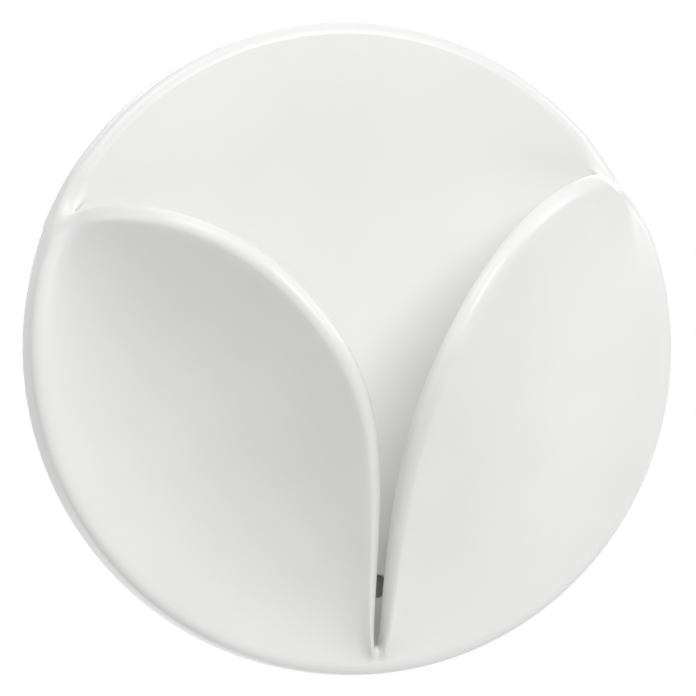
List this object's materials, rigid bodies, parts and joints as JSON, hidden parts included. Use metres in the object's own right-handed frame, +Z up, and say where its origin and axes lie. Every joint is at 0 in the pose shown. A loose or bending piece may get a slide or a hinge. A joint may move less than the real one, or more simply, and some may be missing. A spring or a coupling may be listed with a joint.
{
  "type": "push-in towel holder",
  "caption": "Round white self-adhesive wall holder whose curled petals close to a narrow slot that grips a towel pushed in between them.",
  "frame": {"origin": "centre of the adhesive face, in the plane of the wall", "axes": "+Y points into the wall, -Y is the front that the towel is pushed in from, +Z is up and +X is to the right as seen from the front"},
  "size_m": [0.0554, 0.0232, 0.0556],
  "materials": {
    "white_plastic": "satin white moulding",
    "plate_plastic": "plain moulded, unpolished",
    "adhesive_foam": "white closed-cell foam, tacky on both faces"
  },
  "bodies": {
    "root": {"front_body": "white_plastic", "back_plate": "plate_plastic", "adhesive_pad": "adhesive_foam"}
  },
  "joints": []
}
